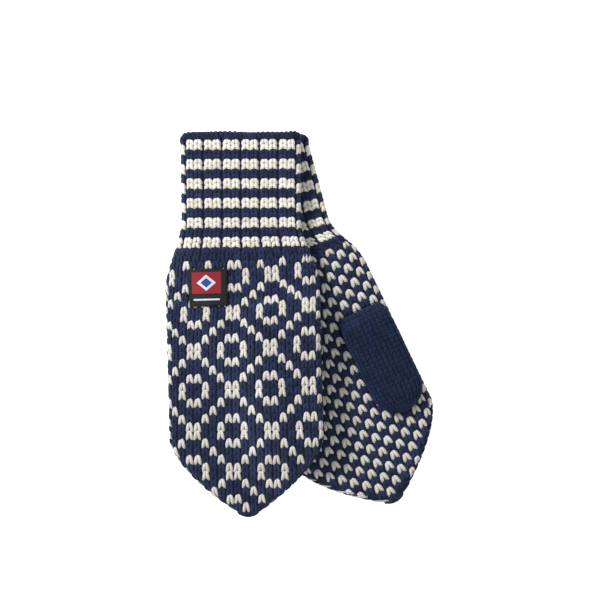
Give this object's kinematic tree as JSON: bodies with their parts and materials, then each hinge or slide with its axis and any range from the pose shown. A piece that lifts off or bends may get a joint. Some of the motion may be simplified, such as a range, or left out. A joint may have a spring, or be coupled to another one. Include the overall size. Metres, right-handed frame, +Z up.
{
  "type": "knitted mittens",
  "caption": "Pair of stranded wool mittens laid flat, one over the other, with striped ribbed cuffs, a geometric pattern on the back and a checked palm.",
  "frame": {"origin": "middle of the laid-out pair on the surface that it lies on", "axes": "+Y from the fingertips to the open cuffs, +Z up from that surface, +X towards the left mitten's side of the pair"},
  "size_m": [0.1884, 0.2714, 0.0351],
  "materials": {
    "navy_wool": "matt, slightly hairy wool",
    "striped_rib": "navy and cream wool in two-row stripes",
    "patterned_back": "navy wool with a cream lattice of blocks and rings",
    "checked_palm": "navy and cream wool, stitch about",
    "carried_strands": "loose strands of the same yarns",
    "thumb_wool": "plain navy wool in a finer gauge",
    "woven_label": "smooth black weave with a red panel",
    "sewing_thread": "twisted sewing thread"
  },
  "bodies": {
    "left_mitten": {"left_cast_on_edge": "navy_wool", "left_cuff": "striped_rib", "left_wrist_band": "navy_wool", "left_hand_back": "patterned_back", "left_palm": "checked_palm", "left_inner_floats": "carried_strands", "left_tip_closure": "navy_wool", "left_thumb_rim": "navy_wool"},
    "left_thumb": {"left_thumb": "thumb_wool"},
    "right_mitten": {"right_wrist_band": "navy_wool", "right_hand_back": "patterned_back", "right_palm": "checked_palm", "right_inner_floats": "carried_strands", "right_tip_closure": "navy_wool", "right_thumb_rim": "navy_wool", "right_label": "woven_label", "right_label_stitching": "sewing_thread"},
    "right_cuff": {"right_cuff": "striped_rib", "right_cast_on_edge": "navy_wool"},
    "right_thumb": {"right_thumb": "thumb_wool"}
  },
  "joints": [
    {"name": "right_mitten_lift", "type": "slide", "parent": "left_mitten", "child": "right_mitten", "axis": [0, 0, 1], "range_m": [0, 0.15]},
    {"name": "left_thumb_swing", "type": "hinge", "parent": "left_mitten", "child": "left_thumb", "pos_m": [0.04108, 0.00959, 0.012], "axis": [-0.9011, -0.4337, 0], "range_deg": [0, 75]},
    {"name": "right_wrist_bend", "type": "hinge", "parent": "right_mitten", "child": "right_cuff", "pos_m": [-0.04048, 0.05233, 0.0243], "axis": [0.9998, 0.0195, 0], "range_deg": [0, 50]},
    {"name": "right_thumb_swing", "type": "hinge", "parent": "right_mitten", "child": "right_thumb", "pos_m": [-0.00499, -0.00161, 0.0231], "axis": [0.9997, 0.0262, 0], "range_deg": [0, 75]}
  ],
  "couplings": [
    {"joint": "right_thumb_swing", "follows": "right_mitten_lift", "rad_per_m": 8.7266}
  ]
}
